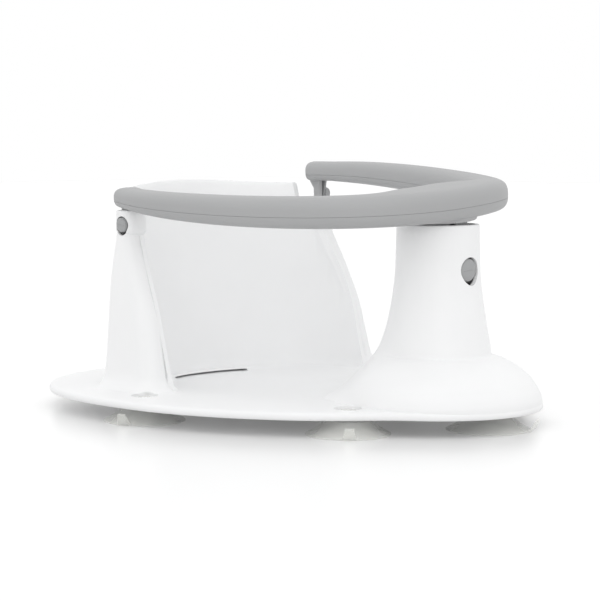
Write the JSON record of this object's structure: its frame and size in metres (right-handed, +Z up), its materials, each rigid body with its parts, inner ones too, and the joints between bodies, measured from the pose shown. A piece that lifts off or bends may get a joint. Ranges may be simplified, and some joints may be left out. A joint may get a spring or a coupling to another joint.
{
  "type": "baby bath seat",
  "caption": "Baby bath seat: a base on suction cups with a curved backrest and a front column, and a safety ring that lifts off its posts and latches at three legs.",
  "frame": {"origin": "on the floor that the suction cups stand on, under the middle of the whole seat's footprint", "axes": "+Z up, +Y towards the backrest, -Y towards the front column, +X towards the post that the ring's lifted end stands over"},
  "size_m": [0.3354, 0.3932, 0.1805],
  "materials": {
    "seat": "satin white moulded plastic",
    "ring": "fine matt grey",
    "latch": "satin grey",
    "cup": "clear soft plastic, slightly milky",
    "screw": "plain"
  },
  "bodies": {
    "seat": {"seat_moulding": "seat", "suction_cup_rear_left": "cup", "suction_cup_rear_right": "cup", "suction_cup_front_left": "cup", "suction_cup_front_right": "cup", "suction_cup_nose": "cup"},
    "ring": {"ring_upper_shell": "ring", "ring_lower_shell": "ring", "ring_screw_left_1": "screw", "ring_screw_right_1": "screw", "ring_screw_left_2": "screw", "ring_screw_right_2": "screw", "ring_screw_left_3": "screw", "ring_screw_right_3": "screw"},
    "left_latch": {"latch_left": "latch"},
    "right_latch": {"latch_right": "latch"},
    "front_latch": {"latch_front": "latch"}
  },
  "joints": [
    {"name": "ring_tilt", "type": "hinge", "parent": "seat", "child": "ring", "pos_m": [-0.1097, 0.09018, 0.1356], "axis": [0.4183, -0.9023, -0.1045], "range_deg": [-5.6, 0]},
    {"name": "latch_left_press", "type": "hinge", "parent": "ring", "child": "left_latch", "pos_m": [-0.10786, 0.08938, 0.15442], "axis": [-0.0084, -0.9991, -0.0413], "range_deg": [0, 13.36], "stiffness_Nm_per_rad": 0.05},
    {"name": "latch_right_press", "type": "hinge", "parent": "ring", "child": "right_latch", "pos_m": [0.10371, 0.08683, 0.17308], "axis": [0.0084, 0.9991, 0.0413], "range_deg": [-13.36, 0], "stiffness_Nm_per_rad": 0.05},
    {"name": "latch_front_press", "type": "hinge", "parent": "ring", "child": "front_latch", "pos_m": [-0.00345, -0.14018, 0.14814], "axis": [0.9961, -0.012, 0.0878], "range_deg": [0, 3.6], "stiffness_Nm_per_rad": 0.05}
  ]
}
